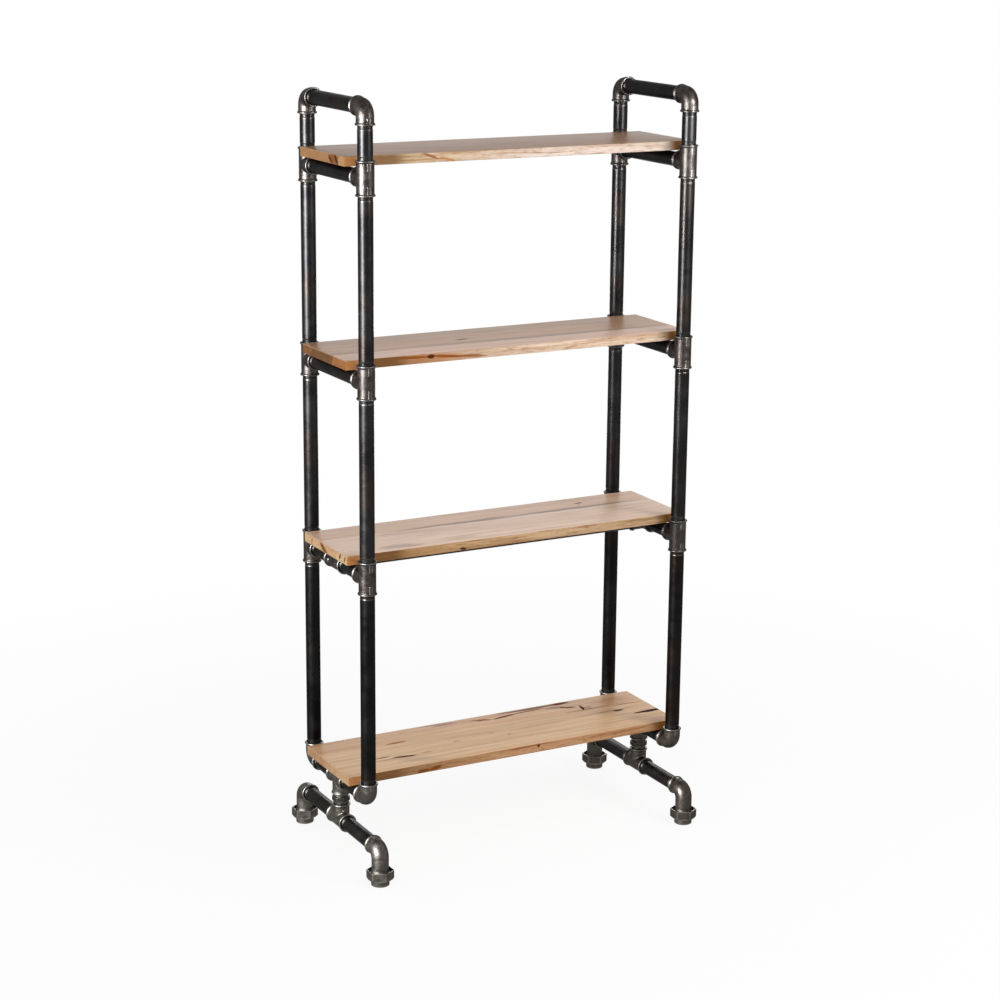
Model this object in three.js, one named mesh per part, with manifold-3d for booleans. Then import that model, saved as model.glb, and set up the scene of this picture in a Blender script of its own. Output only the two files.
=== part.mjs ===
// Free-standing bookcase of threaded steel pipe and four solid wood boards.
//
// Two upright ladder frames, one at each end, are screwed together from pipe, tees and elbows.
// Each frame stands on a foot bar that is deeper than the frame, and a stretcher under the
// second board from the floor ties the frames together. The boards lie between the front and
// the rear uprights, on the end bands of the tees and elbows that face each other.
//
// Millimetres. X is the width, -Y is the front, +Z is up. The origin is on the floor, midway
// between the four feet.

import * as THREE from 'three';
import { mergeVertices } from 'three/addons/utils/BufferGeometryUtils.js';
import Module from 'manifold-3d';

// ---- Driving dimensions ----

// Pipe, and how far its thread goes into a fitting.
const PIPE_DIAMETER = 33.7;
const PIPE_WALL = 3.25;
const THREAD_LENGTH = 15;
const THREAD_CLEARANCE = 0.3;
const SOCKET_RUNOUT = 1.4;

// Cast tees and elbows: the wall round a socket, and the band at each mouth.
const FITTING_WALL = 2.45;
const BAND_HEIGHT = 2.4;
const BAND_WIDTH = 5.5;
const INNER_BEND_RADIUS = 2;

// Frame, between the axes of its pipes.
const FRAME_WIDTH = 806;
const FRAME_DEPTH = 300;
const FOOT_SPREAD = 420;
const LOWER_BAY = 518;
const UPPER_BAY = 438;
const HANDLE_RISE = 149;

// Hexagon nipple between each foot bar and the frame above it.
const NIPPLE_HEX_HEIGHT = 12;
const NIPPLE_HEX_MARGIN = 1.65;
const NIPPLE_COLLAR_HEIGHT = 6.5;

// Boards.
const BOARD_THICKNESS = 21;
const BOARD_OVERHANG = 33;
const BOARD_BEARING = 3.5;
const BOARD_CLEARANCE = 0.3;
const BOARD_EASED_EDGE = 0.8;

// Levelling feet: a union nut on the elbow's threaded end carries a round foot.
const NECK_LENGTH = 26.4;
const NECK_THREAD_LENGTH = 7.5;
const NUT_RECESS_WIDTH = 5.2;
const NUT_RECESS_DEPTH = 5.9;
const NUT_WALL = 2.7;
const NUT_LIP_WIDTH = 6.5;
const NUT_LIP_HEIGHT = 4;
const FOOT_HEIGHT = 15;
const FOOT_SHOULDER = 3;
const FOOT_COLLAR_HEIGHT = 3;
const FOOT_BEVEL = 1.5;
const RUNNING_CLEARANCE = 0.3;

// Facets of the round faces.
const ROUND_SIDES = 12;
const BORE_SIDES = 8;
const TURNING_BORE_SIDES = 24;
const BEND_STEPS = 4;

// ---- Sizes that follow ----

const PIPE_RADIUS = PIPE_DIAMETER / 2;
const BORE_RADIUS = PIPE_RADIUS - PIPE_WALL;
const SOCKET_RADIUS = PIPE_RADIUS + THREAD_CLEARANCE;
const SOCKET_DEPTH = THREAD_LENGTH + SOCKET_RUNOUT;
const FITTING_RADIUS = SOCKET_RADIUS + FITTING_WALL;
const BAND_RADIUS = FITTING_RADIUS + BAND_HEIGHT;
const BEND_RADIUS = FITTING_RADIUS + INNER_BEND_RADIUS;
const REACH = BEND_RADIUS + SOCKET_DEPTH;

const NUT_BORE_RADIUS = FITTING_RADIUS + NUT_RECESS_WIDTH;
const NUT_FLAT_RADIUS = NUT_BORE_RADIUS + NUT_WALL;
const NUT_LIP_RADIUS = NUT_BORE_RADIUS - NUT_LIP_WIDTH;
const FOOT_NECK_RADIUS = NUT_LIP_RADIUS - RUNNING_CLEARANCE;
const FOOT_RADIUS = FOOT_NECK_RADIUS + FOOT_SHOULDER;

const NUT_BOTTOM = FOOT_HEIGHT;
const FOOT_COLLAR_BOTTOM = NUT_BOTTOM + NUT_LIP_HEIGHT + RUNNING_CLEARANCE;
const FOOT_COLLAR_TOP = FOOT_COLLAR_BOTTOM + FOOT_COLLAR_HEIGHT;
const NECK_BOTTOM = FOOT_COLLAR_TOP + RUNNING_CLEARANCE;
const NUT_TOP = NECK_BOTTOM + NECK_THREAD_LENGTH + NUT_RECESS_DEPTH;
const FOOT_BAR_HEIGHT = NUT_TOP + NECK_LENGTH + BEND_RADIUS;

const NIPPLE_EXPOSED = NIPPLE_HEX_HEIGHT + 2 * NIPPLE_COLLAR_HEIGHT;
const RAIL_HEIGHTS = [FOOT_BAR_HEIGHT + NIPPLE_EXPOSED + 2 * REACH];
RAIL_HEIGHTS.push(RAIL_HEIGHTS[0] + LOWER_BAY);
RAIL_HEIGHTS.push(RAIL_HEIGHTS[1] + UPPER_BAY);
RAIL_HEIGHTS.push(RAIL_HEIGHTS[2] + UPPER_BAY);
const HANDLE_HEIGHT = RAIL_HEIGHTS[3] + HANDLE_RISE;
const STRETCHER_LEVEL = 1;

const BOARD_LENGTH = FRAME_WIDTH + 2 * BOARD_OVERHANG;
const BOARD_DEPTH = FRAME_DEPTH - 2 * (REACH - BOARD_BEARING);
const BOARD_LIFT = BAND_RADIUS + BOARD_CLEARANCE;

// ---- Finishes ----

const finishes = {
  pipe: { color: 0x2a2725, roughness: 0.42, metalness: 0.85 },
  fitting: { color: 0x57504a, roughness: 0.5, metalness: 0.8 },
  wood: { color: 0xc39a70, roughness: 0.6, metalness: 0 },
};

// ---- Joining and cutting ----

const wasm = await Module();
wasm.setup();

const CENTRE = new THREE.Vector3(0, 0, 0);
const DIRECTIONS = {
  left: new THREE.Vector3(-1, 0, 0),
  right: new THREE.Vector3(1, 0, 0),
  front: new THREE.Vector3(0, -1, 0),
  rear: new THREE.Vector3(0, 1, 0),
  up: new THREE.Vector3(0, 0, 1),
  down: new THREE.Vector3(0, 0, -1),
};

function toSolid(geometry) {
  const bare = geometry.clone();
  bare.deleteAttribute('normal');
  bare.deleteAttribute('uv');
  const merged = mergeVertices(bare, 1e-4);
  const mesh = new wasm.Mesh({
    numProp: 3,
    vertProperties: new Float32Array(merged.attributes.position.array),
    triVerts: new Uint32Array(merged.index.array),
  });
  return new wasm.Manifold(mesh);
}

function toGeometry(solid) {
  const mesh = solid.getMesh();
  const geometry = new THREE.BufferGeometry();
  geometry.setAttribute('position', new THREE.BufferAttribute(mesh.vertProperties, 3));
  geometry.setIndex(new THREE.BufferAttribute(mesh.triVerts, 1));
  const faceted = geometry.toNonIndexed();
  faceted.computeVertexNormals();
  return faceted;
}

function hollowOut(outsides, insides) {
  const outside = outsides.map(toSolid).reduce((sum, next) => sum.add(next));
  const inside = insides.map(toSolid).reduce((sum, next) => sum.add(next));
  return toGeometry(outside.subtract(inside));
}

// ---- Shapes shared by the pipes and the fittings ----

// A point at a distance from the start along a direction.
function along(start, direction, distance) {
  return start.clone().addScaledVector(direction, distance);
}

// A round bar between two points.
function bar(radius, from, to, sides = ROUND_SIDES) {
  const axis = to.clone().sub(from);
  const geometry = new THREE.CylinderGeometry(radius, radius, axis.length(), sides);
  const turn = new THREE.Quaternion().setFromUnitVectors(
    new THREE.Vector3(0, 1, 0),
    axis.clone().normalize(),
  );
  const middle = from.clone().add(to).multiplyScalar(0.5);
  return geometry.applyQuaternion(turn).translate(middle.x, middle.y, middle.z);
}

// A bar that cuts a bore for something to turn in: its flats, not its corners, are at the radius.
function turningBore(radius, from, to) {
  return bar(radius / Math.cos(Math.PI / TURNING_BORE_SIDES), from, to, TURNING_BORE_SIDES);
}

// The band round one mouth of a fitting.
function band(centre, direction) {
  return bar(BAND_RADIUS, along(centre, direction, REACH - BAND_WIDTH), along(centre, direction, REACH));
}

// The threaded socket in one mouth of a fitting, cut a little past its face.
function socket(centre, direction) {
  const past = 1;
  const bottom = along(centre, direction, REACH - SOCKET_DEPTH);
  return bar(SOCKET_RADIUS, bottom, along(centre, direction, REACH + past));
}

// The outside of a tee: a straight run along an axis, and one branch.
function teeOutsides(centre, axis, branch) {
  const opposite = axis.clone().negate();
  return [
    bar(FITTING_RADIUS, along(centre, opposite, REACH), along(centre, axis, REACH)),
    bar(FITTING_RADIUS, centre, along(centre, branch, REACH)),
    band(centre, axis),
    band(centre, opposite),
    band(centre, branch),
  ];
}

// The centre line of an elbow: straight, a quarter circle, straight. It starts at the end of
// the first mouth's leg and finishes at the end of the second's.
class ElbowLine extends THREE.Curve {
  constructor(centre, first, second, firstReach, secondReach) {
    super();
    Object.assign(this, { centre, first, second, firstReach, secondReach });
  }

  // The parts are as many steps as the facets need: one for each leg, BEND_STEPS for the bend.
  getPoint(t, target = new THREE.Vector3()) {
    const step = t * (BEND_STEPS + 2);
    const turned = THREE.MathUtils.clamp((step - 1) / BEND_STEPS, 0, 1) * Math.PI / 2;
    const firstLeg = Math.max(0, 1 - step) * (this.firstReach - BEND_RADIUS);
    const secondLeg = Math.max(0, step - 1 - BEND_STEPS) * (this.secondReach - BEND_RADIUS);
    const alongFirst = BEND_RADIUS * (1 - Math.sin(turned)) + firstLeg;
    const alongSecond = BEND_RADIUS * (1 - Math.cos(turned)) + secondLeg;
    return target.copy(this.centre)
      .addScaledVector(this.first, alongFirst)
      .addScaledVector(this.second, alongSecond);
  }

  getPointAt(u, target) {
    return this.getPoint(u, target);
  }

  getTangentAt(u, target) {
    return this.getTangent(u, target);
  }
}

// A round bar along an elbow's centre line.
function bentBar(radius, line, sides = ROUND_SIDES) {
  const section = new THREE.Shape();
  for (let side = 0; side < sides; side += 1) {
    const angle = (side / sides) * 2 * Math.PI;
    const place = side === 0 ? 'moveTo' : 'lineTo';
    section[place](radius * Math.cos(angle), radius * Math.sin(angle));
  }
  return new THREE.ExtrudeGeometry(section, { extrudePath: line, steps: BEND_STEPS + 2 });
}

function elbowOutsides(centre, first, second) {
  const line = new ElbowLine(centre, first, second, REACH, REACH);
  return [bentBar(FITTING_RADIUS, line), band(centre, first), band(centre, second)];
}

function elbowBore(centre, first, second, firstReach = REACH, secondReach = REACH) {
  const line = new ElbowLine(centre, first, second, firstReach, secondReach);
  return bentBar(BORE_RADIUS, line, BORE_SIDES);
}

// An upright hexagon with flats to the left and right, and corners to the front and rear.
function hexagonPrism(flatRadius, bottom, top) {
  const cornerRadius = flatRadius / Math.cos(Math.PI / 6);
  const geometry = new THREE.CylinderGeometry(cornerRadius, cornerRadius, top - bottom, 6);
  return geometry.rotateX(Math.PI / 2).translate(0, 0, (bottom + top) / 2);
}

// A ring turned round the Z axis from its closed outline of [radius, height] corners.
function turned(outline, sides = ROUND_SIDES) {
  const closed = [...outline, outline[0]].map(([radius, height]) => new THREE.Vector2(radius, height));
  return new THREE.LatheGeometry(closed, sides).rotateX(Math.PI / 2);
}

// ---- Sub-parts, each about its own reference point ----

// Pipe between two mouths that face each other, with its threads inside both. Its middle is at
// the origin and it lies along an axis.
function pipe(exposed, axis) {
  const half = exposed / 2 + THREAD_LENGTH;
  const turn = new THREE.Quaternion().setFromUnitVectors(DIRECTIONS.up, axis);
  return turned([
    [BORE_RADIUS, -half],
    [PIPE_RADIUS, -half],
    [PIPE_RADIUS, half],
    [BORE_RADIUS, half],
  ]).applyQuaternion(turn);
}

// Tee with its run upright and its branch to the rear.
function uprightTee() {
  const { up, down, rear } = DIRECTIONS;
  return hollowOut(teeOutsides(CENTRE, up, rear), [
    bar(BORE_RADIUS, along(CENTRE, down, REACH), along(CENTRE, up, REACH), BORE_SIDES),
    bar(BORE_RADIUS, CENTRE, along(CENTRE, rear, REACH), BORE_SIDES),
    socket(CENTRE, up),
    socket(CENTRE, down),
    socket(CENTRE, rear),
  ]);
}

// A straight line of pipe, tee and pipe from front to rear, screwed up tight. Its branch is in
// the middle, and its ends are threaded into the mouths at +-(halfSpan - REACH).
function teeBar(halfSpan, branch) {
  const { front, rear } = DIRECTIONS;
  const end = halfSpan - REACH + THREAD_LENGTH;
  const past = 1;
  return hollowOut([
    ...teeOutsides(CENTRE, rear, branch),
    bar(PIPE_RADIUS, along(CENTRE, front, end), along(CENTRE, rear, end)),
  ], [
    bar(BORE_RADIUS, along(CENTRE, front, end + past), along(CENTRE, rear, end + past), BORE_SIDES),
    bar(BORE_RADIUS, CENTRE, along(CENTRE, branch, REACH), BORE_SIDES),
    socket(CENTRE, branch),
  ]);
}

// A bar from front to rear with an elbow at each end whose free mouth faces up or down, and a
// tee in the middle if it has a branch.
function elbowBar(halfSpan, mouth, branch) {
  const { front, rear } = DIRECTIONS;
  const frontCentre = along(CENTRE, front, halfSpan);
  const rearCentre = along(CENTRE, rear, halfSpan);
  const outsides = [
    ...elbowOutsides(frontCentre, rear, mouth),
    ...elbowOutsides(rearCentre, front, mouth),
    bar(PIPE_RADIUS, along(frontCentre, rear, BEND_RADIUS), along(rearCentre, front, BEND_RADIUS)),
  ];
  const insides = [
    elbowBore(frontCentre, rear, mouth, halfSpan),
    elbowBore(rearCentre, front, mouth, halfSpan + 1),
    socket(frontCentre, mouth),
    socket(rearCentre, mouth),
  ];
  if (branch) {
    outsides.push(...teeOutsides(CENTRE, rear, branch));
    insides.push(bar(BORE_RADIUS, CENTRE, along(CENTRE, branch, REACH), BORE_SIDES));
    insides.push(socket(CENTRE, branch));
  }
  return hollowOut(outsides, insides);
}

// Nipple with a hexagon in the middle, a collar above and below it, and both ends threaded.
function nipple() {
  const hexHalf = NIPPLE_HEX_HEIGHT / 2;
  const end = NIPPLE_EXPOSED / 2 + THREAD_LENGTH;
  const past = 1;
  const { up, down } = DIRECTIONS;
  return hollowOut([
    hexagonPrism(PIPE_RADIUS + NIPPLE_HEX_MARGIN, -hexHalf, hexHalf),
    bar(PIPE_RADIUS, along(CENTRE, down, end), along(CENTRE, up, end)),
  ], [
    bar(BORE_RADIUS, along(CENTRE, down, end + past), along(CENTRE, up, end + past), BORE_SIDES),
  ]);
}

// Elbow of a front foot: one mouth to the rear, and a long neck down to its threaded end.
// The origin is where the two centre lines cross.
function footElbow() {
  const { rear, down } = DIRECTIONS;
  const neckReach = FOOT_BAR_HEIGHT - NECK_BOTTOM;
  const past = 1;
  const line = new ElbowLine(CENTRE, rear, down, REACH, neckReach);
  const threadTop = along(CENTRE, down, neckReach - NECK_THREAD_LENGTH);
  return hollowOut([
    bentBar(FITTING_RADIUS, line),
    band(CENTRE, rear),
    bar(NUT_BORE_RADIUS - THREAD_CLEARANCE, threadTop, along(CENTRE, down, neckReach)),
  ], [
    elbowBore(CENTRE, rear, down, REACH, neckReach + past),
    socket(CENTRE, rear),
  ]);
}

// Union nut, open at the top round the elbow's neck, with a lip under the foot's collar.
function footNut() {
  const past = 1;
  const { up } = DIRECTIONS;
  const lipTop = along(CENTRE, up, NUT_BOTTOM + NUT_LIP_HEIGHT);
  return hollowOut([hexagonPrism(NUT_FLAT_RADIUS, NUT_BOTTOM, NUT_TOP)], [
    turningBore(NUT_BORE_RADIUS, lipTop, along(CENTRE, up, NUT_TOP + past)),
    turningBore(NUT_LIP_RADIUS, along(CENTRE, up, NUT_BOTTOM - past), along(CENTRE, up, NUT_TOP)),
  ]);
}

// Round foot, with the collar that the nut carries.
function foot() {
  const top = NUT_BOTTOM - RUNNING_CLEARANCE;
  const collarRadius = NUT_BORE_RADIUS - 2 * RUNNING_CLEARANCE;
  return turned([
    [BORE_RADIUS, 0],
    [FOOT_RADIUS - FOOT_BEVEL, 0],
    [FOOT_RADIUS, FOOT_BEVEL],
    [FOOT_RADIUS, top],
    [FOOT_NECK_RADIUS, top],
    [FOOT_NECK_RADIUS, FOOT_COLLAR_BOTTOM],
    [collarRadius, FOOT_COLLAR_BOTTOM],
    [collarRadius, FOOT_COLLAR_TOP],
    [BORE_RADIUS, FOOT_COLLAR_TOP],
  ]);
}

// Board with its long and short edges eased. The origin is in the middle of its underside.
function board() {
  const halfLength = BOARD_LENGTH / 2 - BOARD_EASED_EDGE;
  const halfDepth = BOARD_DEPTH / 2 - BOARD_EASED_EDGE;
  const outline = new THREE.Shape([
    new THREE.Vector2(-halfLength, -halfDepth),
    new THREE.Vector2(halfLength, -halfDepth),
    new THREE.Vector2(halfLength, halfDepth),
    new THREE.Vector2(-halfLength, halfDepth),
  ]);
  return new THREE.ExtrudeGeometry(outline, {
    depth: BOARD_THICKNESS - 2 * BOARD_EASED_EDGE,
    bevelThickness: BOARD_EASED_EDGE,
    bevelSize: BOARD_EASED_EDGE,
    bevelSegments: 1,
  }).translate(0, 0, BOARD_EASED_EDGE);
}

// ---- Assembly ----

const bookcase = new THREE.Group();

function place(parent, name, geometry, finish, [x, y, z], turn = 0) {
  const mesh = new THREE.Mesh(geometry, new THREE.MeshStandardMaterial(finishes[finish]));
  mesh.name = name;
  mesh.position.set(x, y, z);
  mesh.rotation.z = turn;
  parent.add(mesh);
}

// One upright: pipe, tee, pipe, tee, pipe, tee and a riser, from the lower rail to the handle.
function placeUpright(frame, side, end, y, turn) {
  for (let level = 1; level < RAIL_HEIGHTS.length; level += 1) {
    const rise = RAIL_HEIGHTS[level] - RAIL_HEIGHTS[level - 1];
    const middle = RAIL_HEIGHTS[level] - rise / 2;
    const height = RAIL_HEIGHTS[level];
    const stem = pipe(rise - 2 * REACH, DIRECTIONS.up);
    place(frame, `${side}_${end}_pipe_${level}`, stem, 'pipe', [0, y, middle]);
    place(frame, `${side}_${end}_tee_${level}`, uprightTee(), 'fitting', [0, y, height], turn);
  }
  const riser = pipe(HANDLE_RISE - 2 * REACH, DIRECTIONS.up);
  place(frame, `${side}_${end}_riser`, riser, 'pipe', [0, y, HANDLE_HEIGHT - HANDLE_RISE / 2]);
}

// One foot: elbow, union nut and round foot.
function placeFoot(frame, side, end, y, turn) {
  place(frame, `${side}_${end}_foot_elbow`, footElbow(), 'fitting', [0, y, FOOT_BAR_HEIGHT], turn);
  place(frame, `${side}_${end}_foot_nut`, footNut(), 'fitting', [0, y, 0]);
  place(frame, `${side}_${end}_foot`, foot(), 'fitting', [0, y, 0]);
}

// One end frame. The inward direction points to the other frame.
function placeFrame(side, x, inward) {
  const frame = new THREE.Group();
  frame.position.x = x;
  bookcase.add(frame);
  const { up, down, rear } = DIRECTIONS;
  const halfDepth = FRAME_DEPTH / 2;
  const halfSpread = FOOT_SPREAD / 2;
  const nippleHeight = FOOT_BAR_HEIGHT + REACH + NIPPLE_EXPOSED / 2;

  placeFoot(frame, side, 'front', -halfSpread, 0);
  placeFoot(frame, side, 'rear', halfSpread, Math.PI);
  place(frame, `${side}_foot_bar`, teeBar(halfSpread, up), 'fitting', [0, 0, FOOT_BAR_HEIGHT]);
  place(frame, `${side}_stem_nipple`, nipple(), 'fitting', [0, 0, nippleHeight]);
  place(frame, `${side}_lower_rail`, elbowBar(halfDepth, up, down), 'fitting', [0, 0, RAIL_HEIGHTS[0]]);
  placeUpright(frame, side, 'front', -halfDepth, 0);
  placeUpright(frame, side, 'rear', halfDepth, Math.PI);
  for (let level = 1; level < RAIL_HEIGHTS.length; level += 1) {
    const rail = level === STRETCHER_LEVEL
      ? teeBar(halfDepth, inward)
      : pipe(FRAME_DEPTH - 2 * REACH, rear);
    place(frame, `${side}_rail_${level}`, rail, 'pipe', [0, 0, RAIL_HEIGHTS[level]]);
  }
  place(frame, `${side}_handle`, elbowBar(halfDepth, down), 'fitting', [0, 0, HANDLE_HEIGHT]);
}

placeFrame('left', -FRAME_WIDTH / 2, DIRECTIONS.right);
placeFrame('right', FRAME_WIDTH / 2, DIRECTIONS.left);

const stretcher = pipe(FRAME_WIDTH - 2 * REACH, DIRECTIONS.right);
place(bookcase, 'stretcher', stretcher, 'pipe', [0, 0, RAIL_HEIGHTS[STRETCHER_LEVEL]]);

RAIL_HEIGHTS.forEach((height, level) => {
  place(bookcase, `board_${level}`, board(), 'wood', [0, 0, height + BOARD_LIFT]);
});

export default bookcase;
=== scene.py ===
# Looks for the pipe-frame bookcase: cast fittings, threaded pipe, union nut feet and oak boards,
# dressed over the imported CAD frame. Metres, +X right along the boards, -Y front, +Z up.
import math

import bmesh
import bpy
from mathutils import Matrix, Vector


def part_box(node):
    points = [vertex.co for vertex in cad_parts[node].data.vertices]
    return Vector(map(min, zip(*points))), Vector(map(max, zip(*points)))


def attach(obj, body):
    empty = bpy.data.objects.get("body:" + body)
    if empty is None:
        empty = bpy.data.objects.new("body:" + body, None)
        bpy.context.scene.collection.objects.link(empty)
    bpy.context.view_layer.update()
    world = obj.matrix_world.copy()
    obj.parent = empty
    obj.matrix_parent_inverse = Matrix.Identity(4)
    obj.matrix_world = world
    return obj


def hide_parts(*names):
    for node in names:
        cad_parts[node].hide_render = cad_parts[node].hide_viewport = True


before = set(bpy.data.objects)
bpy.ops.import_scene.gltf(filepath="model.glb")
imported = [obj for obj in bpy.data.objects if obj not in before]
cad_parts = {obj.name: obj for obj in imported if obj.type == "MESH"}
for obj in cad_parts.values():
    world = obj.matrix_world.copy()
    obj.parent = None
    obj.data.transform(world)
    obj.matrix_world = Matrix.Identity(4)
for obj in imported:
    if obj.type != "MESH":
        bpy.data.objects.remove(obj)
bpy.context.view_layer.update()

SIDES = ("left", "right")
ENDS = ("front", "rear")
X, Y, Z = Vector((1, 0, 0)), Vector((0, 1, 0)), Vector((0, 0, 1))
MM = 0.001

# ---- Camera ----


def make_camera():
    data = bpy.data.cameras.new("camera")
    data.sensor_width = 36
    data.lens = 84.86
    camera = bpy.data.objects.new("camera", data)
    bpy.context.scene.collection.objects.link(camera)
    yaw, pitch, roll = math.radians(28.42), math.radians(14.48), math.radians(0.53)
    turn = (
        Matrix.Rotation(-yaw, 4, "Z")
        @ Matrix.Rotation(math.pi / 2 - pitch, 4, "X")
        @ Matrix.Rotation(roll, 4, "Z")
    )
    camera.matrix_world = Matrix.Translation((-2.515, -4.662, 2.167)) @ turn
    bpy.context.scene.camera = camera


make_camera()

# ---- Node trees ----


class Nodes:
    """Short calls for building a material's nodes. Each returns the socket that it makes."""

    def __init__(self, tree):
        self.tree = tree

    def add(self, kind, links=None, **settings):
        node = self.tree.nodes.new(kind)
        for name, value in settings.items():
            setattr(node, name, value)
        for name, value in (links or {}).items():
            self.put(node.inputs[name], value)
        return node

    def put(self, socket, value):
        if isinstance(value, bpy.types.NodeSocket):
            self.tree.links.new(value, socket)
        else:
            socket.default_value = value

    def math(self, operation, a, b=0.0, clamp=False):
        node = self.add("ShaderNodeMath", operation=operation, use_clamp=clamp)
        self.put(node.inputs[0], a)
        self.put(node.inputs[1], b)
        return node.outputs[0]

    def vector(self, operation, a, b):
        node = self.add("ShaderNodeVectorMath", operation=operation)
        self.put(node.inputs[0], a)
        self.put(node.inputs[1], b)
        return node.outputs[0]

    def span(self, value, low, high, to_low=0.0, to_high=1.0):
        """The value's place between low and high, as a number between to_low and to_high."""
        node = self.add("ShaderNodeMapRange", clamp=True, interpolation_type="SMOOTHSTEP")
        for name, given in zip(
            ("Value", "From Min", "From Max", "To Min", "To Max"),
            (value, low, high, to_low, to_high),
        ):
            self.put(node.inputs[name], given)
        return node.outputs["Result"]

    def mix(self, share, a, b, blend="MIX"):
        node = self.add("ShaderNodeMix", data_type="RGBA", blend_type=blend)
        self.put(node.inputs[0], share)
        self.put(node.inputs[6], a)
        self.put(node.inputs[7], b)
        return node.outputs[2]

    def noise(self, place, scale, detail=4.0, roughness=0.55, distortion=0.0):
        node = self.add(
            "ShaderNodeTexNoise",
            {
                "Vector": place,
                "Scale": scale,
                "Detail": detail,
                "Roughness": roughness,
                "Distortion": distortion,
            },
        )
        return node.outputs["Fac"]

    def stretched(self, place, scale):
        return self.vector("MULTIPLY", place, scale)

    def bump(self, height, strength, distance, normal=None):
        links = {"Height": height, "Strength": strength, "Distance": distance}
        if normal is not None:
            links["Normal"] = normal
        return self.add("ShaderNodeBump", links).outputs["Normal"]


def new_material(name, **constants):
    """A material with its Principled shader, and the values that are the same all over it."""
    material = bpy.data.materials.new(name)
    material.use_nodes = True
    nodes = Nodes(material.node_tree)
    shader = material.node_tree.nodes["Principled BSDF"]
    for socket, value in constants.items():
        shader.inputs[socket.replace("_", " ")].default_value = value
    return material, nodes, shader


def rgb(red, green, blue):
    return (red, green, blue, 1.0)


# ---- Metal ----


def metal(name, dark, light, brown, rough, grit, patches, rim, drawn=0.0):
    """Black iron: a patchy skin that turns brown here and there. The mesh's wear attribute rubs
    it through to bare metal where it is above 0, and darkens it with the grime colour where it
    is below, for grime and for painted shade in sockets, recesses and creases. The rim is how
    much the oxide skin shines where it is seen at a glance."""
    material, nodes, shader = new_material(name, Metallic=0.9, Specular_Tint=rgb(rim, rim, rim))
    own = nodes.add("ShaderNodeTexCoord").outputs["Object"]
    each = nodes.add("ShaderNodeObjectInfo").outputs["Random"]
    offset = nodes.add("ShaderNodeCombineXYZ", {"X": nodes.math("MULTIPLY", each, 7.0)})
    place = nodes.vector("ADD", own, offset.outputs[0])
    wear = nodes.add("ShaderNodeAttribute", attribute_name="wear").outputs["Fac"]

    patch = nodes.noise(place, patches, 5.0, 0.6, 0.4)
    cloud = nodes.noise(nodes.vector("ADD", place, (3.1, 1.7, 0.4)), patches * 0.45, 3.0)
    fine = nodes.noise(place, 900.0, 3.0, 0.6)
    skin = nodes.mix(nodes.span(patch, 0.32, 0.68), dark, light)
    skin = nodes.mix(nodes.span(cloud, 0.48, 0.68, 0.0, 0.8), skin, brown)
    skin = nodes.mix(nodes.span(fine, 0.3, 0.75, 0.0, 0.35), skin, dark)
    rubbed = nodes.math("MULTIPLY", wear, nodes.span(patch, 0.25, 0.55, 0.5, 1.0), clamp=True)
    grime_and_shade = nodes.math("MULTIPLY", wear, -1.0, clamp=True)
    skin = nodes.mix(rubbed, skin, BARE_IRON)
    nodes.put(shader.inputs["Base Color"], nodes.mix(grime_and_shade, skin, GRIME_AND_SHADE))

    roughness = nodes.span(patch, 0.3, 0.7, rough - 0.05, rough + 0.07)
    roughness = nodes.math("ADD", roughness, nodes.math("MULTIPLY", fine, 0.05))
    roughness = nodes.math("SUBTRACT", roughness, nodes.math("MULTIPLY", rubbed, 0.08))
    roughness = nodes.math("ADD", roughness, nodes.math("MULTIPLY", grime_and_shade, 0.25))
    nodes.put(shader.inputs["Roughness"], roughness)
    height = nodes.noise(place, 520.0, 3.0, 0.65)
    height = nodes.math("ADD", height, nodes.math("MULTIPLY", nodes.noise(place, 280.0, 2.0), 1.4))
    height = nodes.math("ADD", height, nodes.math("MULTIPLY", patch, 0.4))
    if drawn:
        lines = nodes.noise(nodes.stretched(place, (150.0, 150.0, 3.0)), 1.0, 3.0)
        height = nodes.math("ADD", height, nodes.math("MULTIPLY", lines, drawn))
    nodes.put(shader.inputs["Normal"], nodes.bump(height, grit, 0.001))
    return material


BARE_IRON = rgb(0.28, 0.268, 0.25)
# Near black: grime, and painted shade in sockets, recesses and creases.
GRIME_AND_SHADE = rgb(0.010, 0.009, 0.008)

FITTING = metal(
    "fitting_iron",
    dark=rgb(0.0245, 0.0212, 0.0195),
    light=rgb(0.052, 0.0453, 0.0415),
    brown=rgb(0.048, 0.0378, 0.0325),
    rough=0.31,
    grit=0.32,
    patches=60.0,
    rim=0.45,
)
# Painted light: the castings near the floor are paler than those above, most of all on the left.
LIT_LOW_CASTING = {
    "left": metal(
        "foot_iron_lit_left",
        dark=rgb(0.046, 0.042, 0.037),
        light=rgb(0.086, 0.079, 0.070),
        brown=rgb(0.066, 0.052, 0.042),
        rough=0.36,
        grit=0.4,
        patches=60.0,
        rim=0.45,
    ),
    "right": metal(
        "foot_iron_lit_right",
        dark=rgb(0.040, 0.0345, 0.030),
        light=rgb(0.063, 0.055, 0.0485),
        brown=rgb(0.052, 0.040, 0.032),
        rough=0.36,
        grit=0.25,
        patches=60.0,
        rim=0.45,
    ),
}
PIPE = metal(
    "pipe_steel",
    dark=rgb(0.0105, 0.0102, 0.0104),
    light=rgb(0.0175, 0.017, 0.017),
    brown=rgb(0.022, 0.0158, 0.013),
    rough=0.29,
    grit=0.10,
    patches=24.0,
    rim=0.45,
    drawn=0.6,
)
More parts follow.
